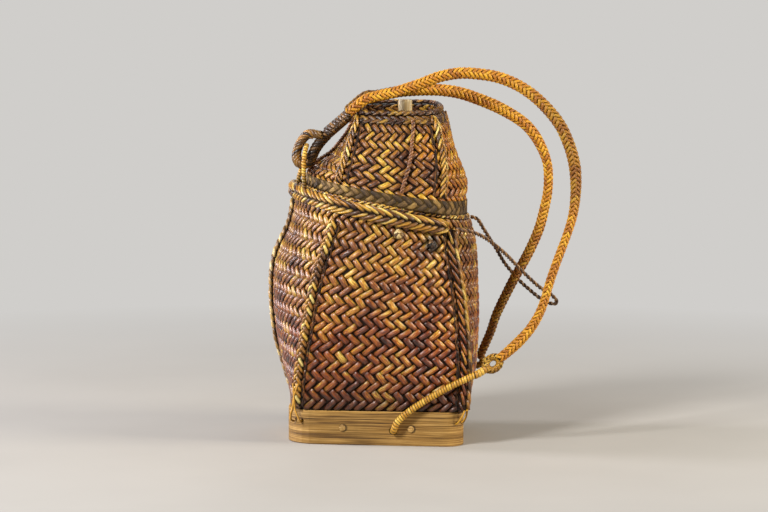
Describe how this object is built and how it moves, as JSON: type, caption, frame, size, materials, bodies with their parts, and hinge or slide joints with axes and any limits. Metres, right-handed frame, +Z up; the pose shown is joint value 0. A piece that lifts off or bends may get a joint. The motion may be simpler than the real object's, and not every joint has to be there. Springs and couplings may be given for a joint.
{
  "type": "plaited rattan pack basket with lid",
  "caption": "Squat plaited pack basket on a bent-wood hoop, with a lift-off domed lid, a bamboo knob and rattan shoulder straps over the top.",
  "frame": {"origin": "on the floor, under the middle of the basket, straps and cords left out", "axes": "+Z up, +X to the right of the picture, where the shoulder straps hang; -Y towards the viewer"},
  "size_m": [0.3388, 0.2244, 0.4063],
  "materials": {
    "hoop wood": "matt, oiled by handling",
    "peg wood": "matt",
    "dark rattan": "glossy, smoke-darkened",
    "golden rattan": "satin",
    "strap rattan": "satin",
    "band rattan": "matt",
    "bamboo": "satin"
  },
  "bodies": {
    "basket": {"base_hoop": "hoop wood", "floor_batten_left": "hoop wood", "floor_batten_right": "hoop wood", "hoop_peg_front_left": "peg wood", "hoop_peg_front_right": "peg wood", "hoop_peg_back_left": "peg wood", "hoop_peg_back_right": "peg wood", "woven_floor": "dark rattan", "body_wall": "dark rattan", "mouth_collar": "dark rattan", "rosette_knot_dark": "dark rattan", "strap_eye": "dark rattan", "strap_neck": "dark rattan", "strap_whipping": "dark rattan", "tether_loop": "dark rattan", "body_rib_front_left": "golden rattan", "body_rib_front_right": "golden rattan", "body_rib_back_right": "golden rattan", "body_rib_back_left": "golden rattan", "rim_braid": "golden rattan", "edge_braid": "golden rattan", "strap_link": "golden rattan", "leader_front": "golden rattan", "leader_rear": "golden rattan", "stopper_knot_front": "golden rattan", "stopper_knot_rear": "golden rattan", "rib_tail_front_left_left": "golden rattan", "rib_tail_front_left_right": "golden rattan", "rib_tail_front_right_left": "golden rattan", "rib_tail_front_right_right": "golden rattan", "rib_tail_back_right_left": "golden rattan", "rib_tail_back_right_right": "golden rattan", "rib_tail_back_left_left": "golden rattan", "rib_tail_back_left_right": "golden rattan", "shoulder_strap_front": "strap rattan", "shoulder_strap_rear": "strap rattan", "strap_end_eye_front": "strap rattan", "strap_end_eye_rear": "strap rattan", "rosette_knot_light": "bamboo"},
    "lid": {"lid_wall": "dark rattan", "lid_band": "band rattan", "lid_rib_front_left": "golden rattan", "lid_rib_front_right": "golden rattan", "lid_rib_back_right": "golden rattan", "lid_rib_back_left": "golden rattan", "lid_cord_front": "golden rattan", "lid_cord_right": "golden rattan", "lid_cord_back": "golden rattan", "lid_cord_left": "golden rattan", "lid_top_ring": "golden rattan", "lid_top_panel": "dark rattan", "lid_knob": "bamboo", "knob_pin": "peg wood"}
  },
  "joints": [
    {"name": "lid_lift", "type": "slide", "parent": "basket", "child": "lid", "axis": [0, 0, 1], "range_m": [0, 0.04], "deforming": ["strap_eye", "strap_neck", "strap_whipping", "shoulder_strap_front", "shoulder_strap_rear"]}
  ]
}
